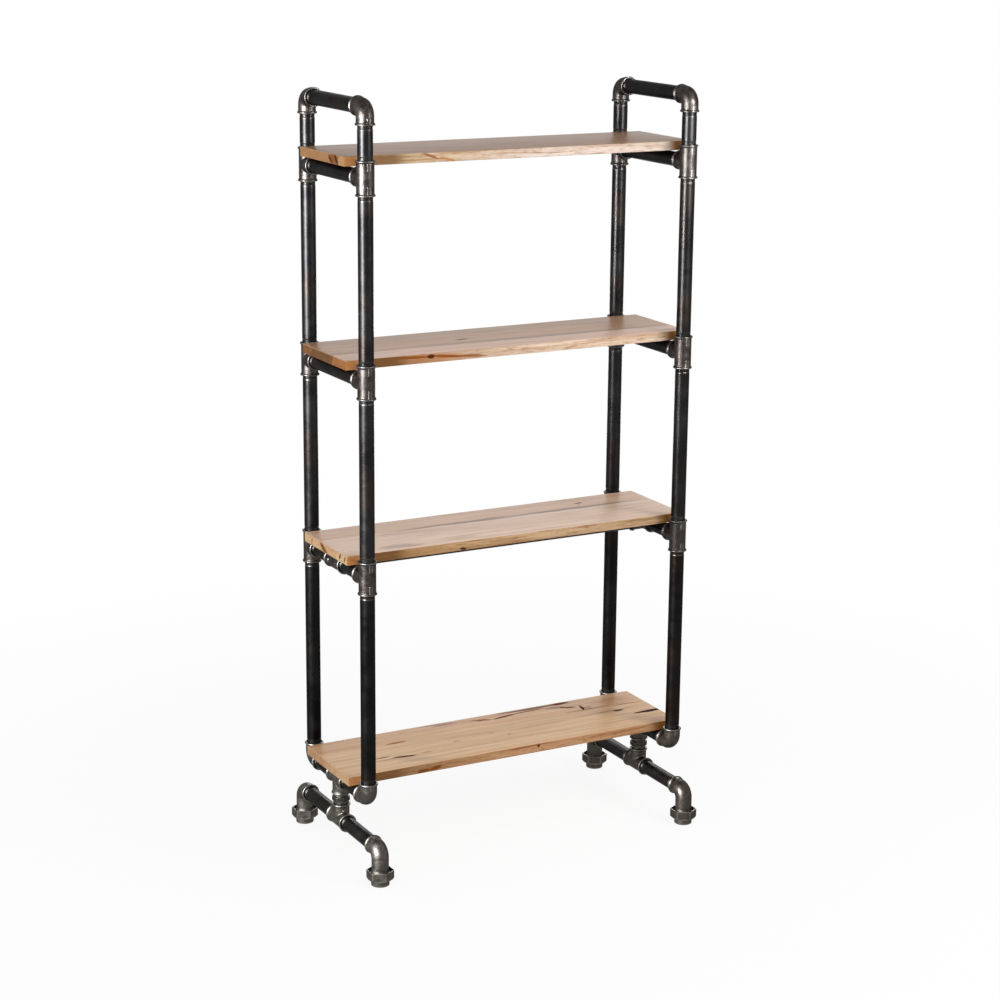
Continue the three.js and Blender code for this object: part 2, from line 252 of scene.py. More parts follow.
# The pipes between the two lowest boards are the blackest.
LOW_PIPE = metal(
    "low_steel",
    dark=rgb(0.0050, 0.0047, 0.0047),
    light=rgb(0.0090, 0.0086, 0.0085),
    brown=rgb(0.0120, 0.0080, 0.0063),
    rough=0.29,
    grit=0.10,
    patches=24.0,
    rim=0.45,
    drawn=0.6,
)
FOOT_PIPE = metal(
    "foot_steel",
    dark=rgb(0.0125, 0.0118, 0.0115),
    light=rgb(0.021, 0.0197, 0.019),
    brown=rgb(0.026, 0.018, 0.014),
    rough=0.33,
    grit=0.15,
    patches=24.0,
    rim=0.45,
    drawn=1.0,
)

# ---- Meshes ----


class Skin:
    """A closed mesh under construction. Points in one place are one vertex."""

    def __init__(self):
        self.mesh = bmesh.new()
        self.layer = self.mesh.verts.layers.float.new("wear")
        self.known = {}

    def point(self, place, wear=0.0):
        key = tuple(round(value / 1e-6) for value in place)
        if key not in self.known:
            self.known[key] = self.mesh.verts.new(place)
            self.known[key][self.layer] = wear
        vertex = self.known[key]
        vertex[self.layer] = max(vertex[self.layer], wear)
        return vertex

    def face(self, corners, material=0):
        kept = []
        for corner in corners:
            if corner not in kept:
                kept.append(corner)
        if len(kept) > 2 and not self.mesh.faces.get(kept):
            self.mesh.faces.new(kept).material_index = material

    def grid(self, rows, closed=False, looped=False):
        """Faces between rows of points. Each row is closed on itself, or the rows are looped."""
        rows = [[self.point(*entry) for entry in row] for row in rows]
        if looped:
            rows.append(rows[0])
        for low, high in zip(rows, rows[1:]):
            steps = range(len(low)) if closed else range(len(low) - 1)
            for step in steps:
                after = (step + 1) % len(low)
                self.face((low[step], low[after], high[after], high[step]))
        return rows

    def data(self, name, materials, sharp):
        bmesh.ops.recalc_face_normals(self.mesh, faces=self.mesh.faces)
        data = bpy.data.meshes.new(name)
        self.mesh.to_mesh(data)
        self.mesh.free()
        data.shade_smooth()
        data.set_sharp_from_angle(angle=math.radians(sharp))
        for material in materials:
            data.materials.append(material)
        return data


# Every piece of metal. The bright panels of the studio light these alone. The right frame above
# its lowest pipes is flagged: the left panel doesn't light it, and a weaker one does.
METALWORK = {group: bpy.data.collections.new(group) for group in ("metal", "open", "flagged")}
FLAG_HEIGHT = 0.6


def put(name, data, place, nodes, slot, body="root", turn=None):
    """One piece of the object, at its place, standing for the CAD nodes that it replaces."""
    piece = bpy.data.objects.new(name, data)
    bpy.context.scene.collection.objects.link(piece)
    if slot != "board_wood":
        flagged = place[0] > 0 and place[2] > FLAG_HEIGHT
        METALWORK["metal"].objects.link(piece)
        METALWORK["flagged" if flagged else "open"].objects.link(piece)
    piece.matrix_world = Matrix.Translation(place) @ (turn or Matrix.Identity(4))
    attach(piece, body)
    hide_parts(*nodes)
    return piece


def facing(run, branch):
    """The turn that takes +Z to run and +Y to branch."""
    side = branch.cross(run)
    return Matrix((side, branch, run)).transposed().to_4x4()


# ---- Sizes of the fittings, as the CAD has them ----

PIPE_RADIUS = 16.85 * MM
FITTING_RADIUS = 19.6 * MM
BAND_RADIUS = 22.0 * MM
BEND_RADIUS = 21.6 * MM
REACH = 38 * MM
THREAD_LENGTH = 15 * MM
BAND_START = 31.4 * MM
FILLET = 3 * MM
SOCKET_RADIUS = 17.15 * MM
ROUND = 48

# A mouth from the bottom of its socket to the plain outside: distance from the fitting's centre,
# radius, and wear. Wear below 0 is grime and painted shade in the socket and behind the band.
MOUTH = [
    (22.5, 17.15, -1.0),
    (36.4, 17.15, -1.0),
    (37.2, 17.4, -0.3),
    (37.8, 18.0, 0.05),
    (38.0, 18.7, 0.15),
    (38.0, 20.4, 0.12),
    (37.7, 21.1, 0.15),
    (37.0, 21.75, 0.2),
    (36.0, 22.0, 0.18),
    (35.1, 21.9, 0.12),
    (34.2, 21.4, 0.05),
    (33.4, 20.6, -0.1),
    (32.6, 19.95, -0.25),
    (31.9, 19.68, -0.15),
]
MOUTH = [(reach * MM, radius * MM, wear) for reach, radius, wear in MOUTH]


# Grip pads on the back of a fitting, next to its bands: half their width and the width of their
# flank as angles, their height, and how near to the fitting's centre they come on a tee.
PAD_HALF_ANGLE = 13.5
PAD_FLANK = 2.5
PAD_HEIGHT = 1.15 * MM
PAD_END = 16.6 * MM
PAD_TOP = 33 * MM


def with_pad(angles, back):
    """Angles in degrees round a fitting, with the pad's own edges instead of those near it."""
    kept = [angle for angle in angles if abs(angle - back) > PAD_HALF_ANGLE + 2]
    inner = PAD_HALF_ANGLE - PAD_FLANK
    edges = (-PAD_HALF_ANGLE, -inner, -inner / 2, 0, inner / 2, inner, PAD_HALF_ANGLE)
    return [math.radians(angle) for angle in sorted(kept + [back + edge for edge in edges])]


def padded(radius, wear, off):
    """A pad's radius and wear at an angle off its middle."""
    if off > math.radians(PAD_HALF_ANGLE - PAD_FLANK / 2):
        return radius, wear
    edge = off > math.radians(PAD_HALF_ANGLE - PAD_FLANK * 1.5)
    return max(radius, FITTING_RADIUS + PAD_HEIGHT), 0.4 if edge else 0.05


def elbow(name, first, second, casting, neck=None):
    """A quarter bend between two directions. A neck is given as its own rows, not a mouth."""
    skin = Skin()
    across = first.cross(second)
    middle = BEND_RADIUS * (first + second)
    around = with_pad([360 * step / ROUND for step in range(ROUND)], 90)

    def ring(centre, outward, radius, wear, pad=False):
        row = []
        for angle in around:
            out, rub = radius, wear
            if pad:
                out, rub = padded(radius, wear, abs(angle - math.pi / 2))
            spot = math.cos(angle) * across + math.sin(angle) * outward
            row.append((centre + out * spot, rub))
        return row

    def end(direction, outward):
        """A mouth, and the straight end of the body with a pad that runs up to the band."""
        rows = []
        for reach, radius, wear in MOUTH:
            pad = radius > FITTING_RADIUS and reach < PAD_TOP
            rows.append(ring(direction * reach, outward, radius, wear, pad))
        for reach, pad in ((31.4, True), (26.5, True), (23.2, True), (22.0, False)):
            rows.append(ring(direction * reach * MM, outward, FITTING_RADIUS, 0.0, pad))
        return rows

    rows = end(first, -second)
    for step in range(1, 12):
        angle = math.pi / 2 * step / 12
        outward = -(math.sin(angle) * first + math.cos(angle) * second)
        swell = 0.35 * MM * math.sin(2 * angle)
        rows.append(ring(middle + BEND_RADIUS * outward, outward, FITTING_RADIUS + swell, 0.0))
    if neck is None:
        rows += reversed(end(second, -first))
    else:
        rows += [ring(second * reach, -first, radius, wear) for reach, radius, wear in neck]
    rows = skin.grid(rows, closed=True)
    skin.face(rows[0])
    skin.face(rows[-1])
    return skin.data(name, [casting], 40)


def tee(name, casting):
    """A tee with its run along Z and its branch to +Y, joined by a fillet."""
    skin = Skin()
    front = [math.radians(-90 + 7.5 * step) for step in range(25)]
    back = with_pad([90 + 7.5 * step for step in range(25)], 180)
    start = BAND_START

    def on_run(angle, height, radius=FITTING_RADIUS, wear=0.0):
        if PAD_END - 1e-6 <= abs(height) <= PAD_TOP:
            radius, wear = padded(radius, wear, abs(math.pi - angle % math.tau))
        return (Vector((radius * math.sin(angle), radius * math.cos(angle), height)), wear)

    heights = [31.4, 29.5, 26, 22.5, 19, 17.4, 16.6, 15.6, 12, 8, 4, 0]
    shares = [height * MM / start for height in heights]
    reach = FITTING_RADIUS + FILLET
    for up in (1, -1):
        rows = []
        for share in shares:
            row = []
            for angle in front:
                contact = reach * math.cos(angle)
                row.append(on_run(angle, up * (contact + (start - contact) * share)))
            rows.append(row)
        skin.grid(rows)
        skin.grid([[on_run(angle, up * share * start) for angle in back] for share in shares])
        fillet = []
        for step in range(5):
            row = []
            for angle in front:
                sine, cosine = math.sin(angle), math.cos(angle)
                centre = Vector((reach * sine, reach * cosine, reach * cosine))
                along_run, along_branch = Vector((sine, cosine, 0)), Vector((sine, 0, cosine))
                toward = along_run.lerp(along_branch, step / 4)
                toward = toward.normalized() if toward.length > 1e-9 else along_run
                spot = centre - FILLET * toward
                row.append((Vector((spot.x, spot.y, up * spot.z)), 0.0))
            fillet.append(row)
        skin.grid(fillet)
        branch = []
        for step in range(7):
            row = []
            for angle in front:
                contact = reach * math.cos(angle)
                along = contact + (start - contact) * step / 6
                radius = FITTING_RADIUS
                row.append(
                    (Vector((radius * math.sin(angle), along, up * radius * math.cos(angle))), 0.0)
                )
            branch.append(row)
        skin.grid(branch)
        around = front[:-1] + back[:-1]
        mouth = [[on_run(angle, up * start) for angle in around]]
        for out, radius, wear in reversed(MOUTH):
            inside = radius < FITTING_RADIUS - 0.05 * MM
            row = []
            for angle in around:
                if inside:
                    spot = Vector((radius * math.sin(angle), radius * math.cos(angle), up * out))
                    row.append((spot, wear))
                else:
                    row.append(on_run(angle, up * out, radius, wear))
            mouth.append(row)
        skin.face(skin.grid(mouth, closed=True)[-1])
    around = [(angle, 1) for angle in front[:-1]] + [(angle, -1) for angle in front[:0:-1]]
    mouth = [(start, FITTING_RADIUS, 0.0), *reversed(MOUTH)]
    rows = [
        [
            (Vector((radius * math.sin(angle), out, up * radius * math.cos(angle))), wear)
            for angle, up in around
        ]
        for out, radius, wear in mouth
    ]
    skin.face(skin.grid(rows, closed=True)[-1])
    return skin.data(name, [casting], 40)


def turned(name, rows, material, sides=ROUND, ring=False, sharp=35):
    """A piece turned round Z. A row is its height, its radius and its wear, and these two can be
    functions of the angle. A ring's last row joins its first; otherwise both ends are capped."""
    skin = Skin()
    made = []
    for height, radius, wear in rows:
        row = []
        for step in range(sides):
            angle = math.tau * step / sides
            out = radius(angle) if callable(radius) else radius
            rub = wear(angle) if callable(wear) else wear
            row.append((Vector((out * math.cos(angle), out * math.sin(angle), height)), rub))
        made.append(row)
    made = skin.grid(made, closed=True, looped=ring)
    if not ring:
        skin.face(made[0])
        skin.face(made[-1])
    return skin.data(name, [material], sharp)


def hexagon(flat, limit):
    """Radius by angle of a hexagon with flats to +-X, held within a limit for its corners."""

    def radius(angle):
        within = (angle + math.pi / 6) % (math.pi / 3) - math.pi / 6
        return min(flat / math.cos(within), limit)

    return radius


def at_corners(rub):
    """Wear on the six corners of a hexagon, and none between them."""
    return lambda angle: rub if abs(angle % (math.pi / 3) - math.pi / 6) < 0.01 else 0.0


def cone(outline, start, depth, lean):
    """An outline by angle, held within a cone that starts at a radius and widens with depth."""
    return lambda angle: min(outline(angle), start + depth / lean)


pipe_meshes = {}


def pipe_mesh(exposed, steel):
    """Pipe between two mouths, about its middle, with the run-out of its thread showing."""
    key = f"{steel.name}_{exposed / MM:.1f}"
    if key in pipe_meshes:
        return pipe_meshes[key]
    half = exposed / 2
    end = [(-THREAD_LENGTH, 16.0, -1.0), (-1 * MM, 16.0, -1.0)]
    for turn in range(3):
        start = turn * 2.3 * MM
        end += [
            (start, 16.05, -0.7),
            (start + 0.8 * MM, 16.65, 0.1),
            (start + 1.4 * MM, 16.65, 0.1),
            (start + 2.2 * MM, 16.05, -0.6),
        ]
    end += [
        (7.2 * MM, 16.3, 0.0),
        (8.6 * MM, 16.72, 0.15),
        (9.4 * MM, 16.85, 0.05),
        (11 * MM, 16.85, 0.0),
    ]
    rows = [(-half + out, radius * MM, wear) for out, radius, wear in end]
    steps = max(1, round((exposed - 22 * MM) / (60 * MM)))
    length = exposed - 22 * MM
    for step in range(1, steps):
        rows.append((-half + 11 * MM + length * step / steps, PIPE_RADIUS, 0.0))
    rows += [(half - out, radius * MM, wear) for out, radius, wear in reversed(end)]
    pipe_meshes[key] = turned(key, rows, steel, sides=40)
    return pipe_meshes[key]


# ---- Where things are ----


def middle(node):
    low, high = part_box(node)
    return (low + high) / 2


def line(side, end):
    """The upright's axis, as x and y."""
    spot = middle(f"{side}_{end}_pipe_1")
    return spot.x, spot.y


LEVELS = [middle("left_lower_rail").z] + [middle(f"left_rail_{level}").z for level in (1, 2, 3)]
HANDLE_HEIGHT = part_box("left_handle")[1].z - BAND_RADIUS
FOOT_BAR_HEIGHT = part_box("left_foot_bar")[0].z + BAND_RADIUS

TEE = tee("tee", FITTING)
ELBOW = elbow("elbow", Y, Z, FITTING)
FOOT_TEE = {side: tee(f"foot_tee_{side}", LIT_LOW_CASTING[side]) for side in SIDES}
FOOT_ELBOW = {side: elbow(f"low_elbow_{side}", Y, Z, LIT_LOW_CASTING[side]) for side in SIDES}


def put_pipe(name, start, finish, nodes, steel=PIPE):
    """Pipe between two mouths that face each other."""
    along = finish - start
    turn = Z.rotation_difference(along.normalized()).to_matrix().to_4x4()
    data = pipe_mesh(along.length, steel)
    put(name, data, (start + finish) / 2, nodes, "pipe_steel", turn=turn)


def put_tee(name, centre, run, branch, node, mesh=TEE):
    put(name, mesh, centre, [node], "fitting_iron", turn=facing(run, branch))


def put_elbow(name, centre, first, second, node, mesh=ELBOW):
    """The elbow's own mouths face +Y and +Z."""
    put(name, mesh, centre, [node], "fitting_iron", turn=facing(second, first))


# ---- Uprights, rails and handles ----


def dress_upright(side, end):
    x, y = line(side, end)
    inward = -Y if end == "rear" else Y
    bottom = LEVELS[0]
    for level in (1, 2, 3):
        low, high = Vector((x, y, bottom + REACH)), Vector((x, y, LEVELS[level] - REACH))
        steel = LOW_PIPE if level == 1 else PIPE
        put_pipe(f"{side}_{end}_stem_{level}", low, high, [f"{side}_{end}_pipe_{level}"], steel)
        centre = Vector((x, y, LEVELS[level]))
        node = f"{side}_{end}_tee_{level}"
        put_tee(f"{side}_{end}_cast_tee_{level}", centre, Z, inward, node)
        bottom = LEVELS[level]
    low, high = Vector((x, y, bottom + REACH)), Vector((x, y, HANDLE_HEIGHT - REACH))
    put_pipe(f"{side}_{end}_top_stem", low, high, [f"{side}_{end}_riser"])


def dress_frame(side):
    toward = X if side == "left" else -X
    x, front = line(side, "front")
    rear = line(side, "rear")[1]
    for end in ENDS:
        dress_upright(side, end)

    for name, height, mouth, mesh in (
        ("handle", HANDLE_HEIGHT, -Z, ELBOW),
        ("lower_rail", LEVELS[0], Z, FOOT_ELBOW[side]),
    ):
        node = f"{side}_{name}"
        put_elbow(f"{node}_front_elbow", Vector((x, front, height)), Y, mouth, node, mesh)
        put_elbow(f"{node}_rear_elbow", Vector((x, rear, height)), -Y, mouth, node, mesh)
    spots = [Vector((x, end, HANDLE_HEIGHT)) for end in (front + REACH, rear - REACH)]
    put_pipe(f"{side}_handle_bar", *spots, [f"{side}_handle"])

    centre_y = (front + rear) / 2
    for name, height, branch, mesh in (
        ("lower_rail", LEVELS[0], -Z, FOOT_TEE[side]),
        ("rail_1", LEVELS[1], toward, TEE),
    ):
        node = f"{side}_{name}"
        centre = Vector((x, centre_y, height))
        put_tee(f"{node}_cast_tee", centre, Y, branch, node, mesh)
        for end, edge, sign in (("front", front, -1), ("rear", rear, 1)):
            near = centre + Y * REACH * sign
            far = Vector((x, edge - REACH * sign, height))
            put_pipe(f"{node}_{end}_bar", near, far, [node])
    for level in (2, 3):
        spots = [Vector((x, end, LEVELS[level])) for end in (front + REACH, rear - REACH)]
        put_pipe(f"{side}_cross_bar_{level}", *spots, [f"{side}_rail_{level}"])


# ---- Feet ----

NUT_LOW, NUT_HIGH = (corner.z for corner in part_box("left_front_foot_nut"))
NECK_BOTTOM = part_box("left_front_foot_elbow")[0].z
FOOT_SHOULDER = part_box("left_front_foot")[1].z


def foot_elbow(side):
    """The neck runs down into the union nut, and ends in the flange that the nut draws up."""
    end = FOOT_BAR_HEIGHT - NECK_BOTTOM
    # The neck darkens with the grime colour as it goes into the nut: painted shade in the nut's
    # hollow.
    neck = [
        (end - 19.0 * MM, FITTING_RADIUS, 0.0),
        (end - 15.5 * MM, 19.7 * MM, -0.1),
        (end - 13.2 * MM, 20.2 * MM, -0.3),
        (end - 11.2 * MM, 21.3 * MM, -0.4),
        (end - 9.6 * MM, 22.9 * MM, -0.5),
        (end - 8.6 * MM, 24.2 * MM, -0.7),
        (end - 8.1 * MM, 24.4 * MM, -1.0),
        (end, 24.4 * MM, -1.0),
    ]
    return elbow(f"foot_elbow_{side}", Y, -Z, LIT_LOW_CASTING[side], neck)


def foot_nut(side):
    """Hexagon union nut with a chamfer top and bottom, hollow round the neck."""
    height = NUT_HIGH - NUT_LOW
    outline = hexagon(27.5 * MM, 31.5 * MM)
    lean = math.tan(math.radians(32))
    rows = [(0.0, 18.6 * MM, 0.1), (0.0, 27.2 * MM, 0.2)]
    for depth in (0.15 * MM, 0.5 * MM, 0.9 * MM, 1.35 * MM, 1.8 * MM, 2.4 * MM):
        rows.append((depth, cone(outline, 28.3 * MM, depth, lean), 0.3))
    rows += [
        (3.2 * MM, outline, at_corners(0.35)),
        (height - 1.1 * MM, outline, at_corners(0.35)),
        (height - 0.35 * MM, outline, 0.7),
        (height, hexagon(27.15 * MM, 31.1 * MM), 0.9),
        (height, hexagon(26.4 * MM, 30.3 * MM), 0.5),
        # From here the hollow round the neck takes the grime colour: painted shade in the recess.
        (height - 0.45 * MM, hexagon(25.9 * MM, 29.0 * MM), -0.4),
        (height - 1.4 * MM, 25.1 * MM, -0.8),
        (height - 2.4 * MM, 24.85 * MM, -1.0),
        (4.0 * MM, 24.85 * MM, -1.0),
        (4.0 * MM, 18.4 * MM, -1.0),
        (0.6 * MM, 18.4 * MM, -1.0),
    ]
    rows = [(level - height / 2, radius, wear) for level, radius, wear in rows]
    return turned(f"union_nut_{side}", rows, LIT_LOW_CASTING[side], sides=72, ring=True, sharp=24)


def round_foot(side):
    """Round foot under the nut, and the collar inside that the nut carries."""
    top = NUT_LOW - 0.3 * MM
    rows = [
        (0.0, 13.6 * MM, 0.0),
        (0.0, 18.9 * MM, 0.5),
        (0.35 * MM, 19.9 * MM, 0.7),
        (1.0 * MM, 20.6 * MM, 0.7),
        (1.9 * MM, 20.95 * MM, 0.4),
        (3.0 * MM, 21.0 * MM, 0.1),
        (top - 3.4 * MM, 21.0 * MM, 0.0),
        (top - 1.6 * MM, 20.9 * MM, 0.2),
        (top - 0.5 * MM, 20.4 * MM, 0.4),
        (top, 19.6 * MM, 0.2),
        (top, 18.0 * MM, 0.0),
        (top + 4.6 * MM, 18.0 * MM, 0.0),
        (top + 4.6 * MM, 24.0 * MM, 0.0),
        (FOOT_SHOULDER, 24.0 * MM, 0.0),
        (FOOT_SHOULDER, 13.6 * MM, 0.0),
    ]
    return turned(f"round_foot_{side}", rows, LIT_LOW_CASTING[side], ring=True)


def hex_nipple():
    """Hexagon nipple: threads into the fittings above and below, and a hexagon between."""
    outline = hexagon(18.5 * MM, 20.9 * MM)
    lean = math.tan(math.radians(32))
    # The hexagon's faces take some of the grime colour: painted shade.
    half = [(0.0, outline, -0.3), (4.4 * MM, outline, -0.25)]
    for depth in (1.1, 0.75, 0.45, 0.2):
        half.append(((6.0 - depth) * MM, cone(outline, 18.9 * MM, depth * MM, lean), 0.25))
    half += [(6.0 * MM, 18.4 * MM, 0.3), (6.0 * MM, 16.9 * MM, -0.6)]
    for turn in range(3):
        start = 6.4 + turn * 2.1
        half += [
            (start * MM, 16.1 * MM, -0.8),
            ((start + 0.7) * MM, 16.75 * MM, 0.4),
            ((start + 1.2) * MM, 16.75 * MM, 0.4),
        ]
    half += [(12.9 * MM, 16.1 * MM, -1.0), (27.5 * MM, 16.1 * MM, -1.0)]
    rows = [(-height, radius, wear) for height, radius, wear in reversed(half[1:])] + half
    return turned("hex_nipple", rows, FITTING, sides=72, sharp=24)


def cast_ring(side):
    """A plain raised ring on the front of a branch, half sunk into it."""
    skin = Skin()
    major, minor = 4.0 * MM, 0.85 * MM
    rows = []
    for step in range(24):
        angle = math.tau * step / 24
        out = Vector((math.cos(angle), 0, math.sin(angle)))
        sag = FITTING_RADIUS - math.sqrt(FITTING_RADIUS**2 - (major * out.x) ** 2)
        centre = major * out + Y * (sag - FITTING_RADIUS)
        row = []
        for part in range(8):
            turn = math.tau * part / 8
            row.append((centre + minor * (math.cos(turn) * out + math.sin(turn) * Y), 0.35))
        rows.append(row)
    skin.grid(rows, closed=True, looped=True)
    return skin.data(f"cast_ring_{side}", [LIT_LOW_CASTING[side]], 60)


def dress_feet(side, nipple_mesh):
    elbow_mesh, nut_mesh, foot_mesh = foot_elbow(side), foot_nut(side), round_foot(side)
    x = line(side, "front")[0]
    bar = f"{side}_foot_bar"
    centre = Vector((x, middle(bar).y, FOOT_BAR_HEIGHT))
    put_tee(f"{bar}_cast_tee", centre, Y, Z, bar, FOOT_TEE[side])
    put(f"{bar}_cast_ring", cast_ring(side), centre + Z * 22 * MM, [bar], "fitting_iron")
    nipple = f"{side}_stem_nipple"
    put(f"{side}_hex_nipple", nipple_mesh, middle(nipple), [nipple], "fitting_iron")
    for end, sign in (("front", -1), ("rear", 1)):
        base = f"{side}_{end}_foot"
        spot = middle(f"{base}_nut")
        bend = Vector((x, spot.y, FOOT_BAR_HEIGHT))
        near, far = centre + Y * REACH * sign, bend - Y * REACH * sign
        put_pipe(f"{bar}_{end}_bar", near, far, [bar], FOOT_PIPE)
        turn = Matrix.Rotation(0 if end == "front" else math.pi, 4, "Z")
        elbow_name = f"{base}_elbow"
        put(f"{base}_bend", elbow_mesh, bend, [elbow_name], "fitting_iron", turn=turn)
        put(f"{base}_union_nut", nut_mesh, spot, [f"{base}_nut"], "fitting_iron", f"{side}_{end}_nut")
        spot = Vector((x, spot.y, 0))
        put(f"{base}_end", foot_mesh, spot, [base], "fitting_iron", base)


# ---- Wood ----


def ellipse(nodes, place, x, y, length, width, angle=0.0):
    """1 in the middle of an ellipse and 0 outside it, in the plane of the first two axes."""
    node = nodes.add("ShaderNodeMapping", {"Vector": place}, vector_type="TEXTURE")
    node.inputs["Location"].default_value = (x, y, 0)
    node.inputs["Rotation"].default_value = (0, 0, math.radians(angle))
    node.inputs["Scale"].default_value = (length / 2, width / 2, 1000)
    ball = nodes.add("ShaderNodeTexGradient", {"Vector": node.outputs[0]}, gradient_type="SPHERICAL")
    return ball.outputs["Fac"]


def planks(nodes, across, joints):
    """A number that steps up by one at each joint between planks."""
    total = 0.0
    for joint in joints:
        total = nodes.math("ADD", nodes.math("GREATER_THAN", across, joint), total)
    return total


def along_grain(nodes, own, number, seed):
    """Coordinates that follow the grain: along X, and bent a little sideways."""
    offset = nodes.add("ShaderNodeCombineXYZ", {"X": nodes.math("MULTIPLY", number, 3.7)})
    offset = nodes.vector("ADD", offset.outputs[0], (seed * 5.3, seed * 2.1, seed * 0.7))
    place = nodes.vector("ADD", own, offset)
    sway = nodes.noise(nodes.stretched(place, (1.6, 7.0, 7.0)), 1.0, 2.0)
    sway = nodes.math("MULTIPLY", nodes.math("SUBTRACT", sway, 0.5), 0.03)
    bend = nodes.add("ShaderNodeCombineXYZ", {"Y": sway, "Z": nodes.math("MULTIPLY", sway, 0.25)})
    return nodes.vector("ADD", place, bend.outputs[0])


def shade(nodes, colour, share, tint):
    """The colour multiplied by a tint, as far as the share says."""
    return nodes.mix(share, colour, nodes.mix(1.0, colour, tint, "MULTIPLY"))


def lay_marks(nodes, colour, place, marks, streak):
    """Marks laid over a colour, and how deep they cut: stains, and a few patches of painted shade
    and shadow. A mark is its x, y, length, width, angle, tint, softness and strength."""
    depth = 0.0
    ragged = nodes.span(streak, 0.2, 0.45, 0.6, 1.0)
    for x, y, length, width, angle, tint, soft, strength in marks:
        share = ellipse(nodes, place, x, y, length, width, angle)
        share = nodes.span(share, 0.0, soft * 0.7, 0.0, strength)
        share = nodes.math("MULTIPLY", share, ragged)
        colour = nodes.mix(share, colour, tint)
        if soft < HARD_MARK:
            depth = nodes.math("ADD", share, depth)
    return colour, depth


def board_face(name, seed, look):
    """Flat-sawn face: long streaks, a tone for each plank, stains and dark checks."""
    material, nodes, shader = new_material(name, Specular_IOR_Level=look["shine"])
    own = nodes.add("ShaderNodeTexCoord").outputs["Object"]
    split = nodes.add("ShaderNodeSeparateXYZ", {"Vector": own})
    number = planks(nodes, split.outputs["Y"], look["joints"])
    place = along_grain(nodes, own, number, seed)

    broad = nodes.noise(nodes.stretched(place, (1.3, 9.0, 9.0)), 1.0, 3.0)
    streak = nodes.noise(nodes.stretched(place, (4.0, 75.0, 75.0)), 1.0, 5.0, 0.6)
    fine = nodes.noise(nodes.stretched(place, (7.0, 260.0, 260.0)), 1.0, 4.0, 0.65)
    rings = nodes.add(
        "ShaderNodeTexWave",
        {
            "Vector": nodes.stretched(place, (0.35, 11.0, 3.0)),
            "Scale": 1.0,
            "Distortion": 7.0,
            "Detail": 3.0,
            "Detail Scale": 1.4,
        },
        bands_direction="Y",
    ).outputs["Fac"]

    light, dark = look["face"]
    colour = nodes.mix(nodes.span(broad, 0.3, 0.7), light, dark)
    for step, tone in enumerate(look["tones"]):
        chosen = nodes.math("COMPARE", number, float(step))
        colour = shade(nodes, colour, chosen, tone)
    colour = shade(nodes, colour, nodes.span(streak, 0.5, 0.72, 0.0, 0.6), rgb(0.70, 0.57, 0.48))
    colour = shade(nodes, colour, nodes.span(rings, 0.55, 1.0, 0.0, 0.25), rgb(0.72, 0.6, 0.5))
    colour = shade(nodes, colour, nodes.span(fine, 0.47, 0.68, 0.0, 0.6), rgb(0.76, 0.67, 0.6))

    wander = nodes.noise(nodes.stretched(own, (14.0, 60.0, 60.0)), 1.0, 3.0)
    wander = nodes.math("MULTIPLY", nodes.math("SUBTRACT", wander, 0.5), 0.014)
    shift = nodes.add("ShaderNodeCombineXYZ", {"X": nodes.math("MULTIPLY", wander, 3.0), "Y": wander})
    marked = nodes.vector("ADD", own, shift.outputs[0])
    colour, depth = lay_marks(nodes, colour, marked, look["marks"], streak)
    nodes.put(shader.inputs["Base Color"], colour)
    roughness = nodes.span(fine, 0.2, 0.8, 0.30, 0.42)
    roughness = nodes.math("ADD", roughness, nodes.math("MULTIPLY", depth, 0.6), clamp=True)
    nodes.put(shader.inputs["Roughness"], roughness)
    height = nodes.math("MULTIPLY", fine, 0.5)
    height = nodes.math("SUBTRACT", height, nodes.math("MULTIPLY", depth, 1.6))
    nodes.put(shader.inputs["Normal"], nodes.bump(height, 0.3, 0.0005))
    return material


def board_edge(name, seed, look):
    """Long sawn edge: tighter lines than the face, and warmer. Its marks are on the front."""
    material, nodes, shader = new_material(name, Specular_IOR_Level=0.12)
    own = nodes.add("ShaderNodeTexCoord").outputs["Object"]
    place = along_grain(nodes, own, 0.0, seed + 0.4)
    broad = nodes.noise(nodes.stretched(place, (2.6, 20.0, 55.0)), 1.0, 3.0)
    streak = nodes.noise(nodes.stretched(place, (5.0, 60.0, 150.0)), 1.0, 4.0, 0.6, 0.5)
    fine = nodes.noise(nodes.stretched(place, (40.0, 300.0, 420.0)), 1.0, 4.0, 0.65)
    light, dark = look["edge"]
    colour = nodes.mix(nodes.span(broad, 0.32, 0.7), light, dark)
    colour = shade(nodes, colour, nodes.span(streak, 0.45, 0.72, 0.0, 0.85), rgb(0.62, 0.48, 0.36))
    colour = shade(nodes, colour, nodes.span(fine, 0.48, 0.66, 0.0, 0.85), rgb(0.66, 0.52, 0.38))
    split = nodes.add("ShaderNodeSeparateXYZ", {"Vector": own})
    # Darker towards the left end: partly the wood's own tone, partly painted shade.
    colour = shade(nodes, colour, nodes.span(split.outputs["X"], 0.1, -0.4), look["edge_left"])
    colour = nodes.mix(nodes.span(split.outputs["X"], -0.396, -0.408, 0.0, 0.95), colour, AMBER)
    # Painted shadow, dark and golden, on the edge beside the right upright.
    colour = nodes.mix(nodes.span(split.outputs["X"], 0.366, 0.392, 0.0, 0.95), colour, RIGHT_UPRIGHT_SHADE)
    flat = nodes.add("ShaderNodeCombineXYZ", {"X": split.outputs["X"], "Y": split.outputs["Z"]})
    marked_colour, depth = lay_marks(nodes, colour, flat.outputs[0], look["edge_marks"], streak)
    front = nodes.math("LESS_THAN", split.outputs["Y"], 0.0)
    nodes.put(shader.inputs["Base Color"], nodes.mix(front, colour, marked_colour))
    nodes.put(shader.inputs["Roughness"], nodes.span(fine, 0.2, 0.8, 0.5, 0.66))
    height = nodes.math("SUBTRACT", fine, depth)
    nodes.put(shader.inputs["Normal"], nodes.bump(height, 0.3, 0.0004))
    return material


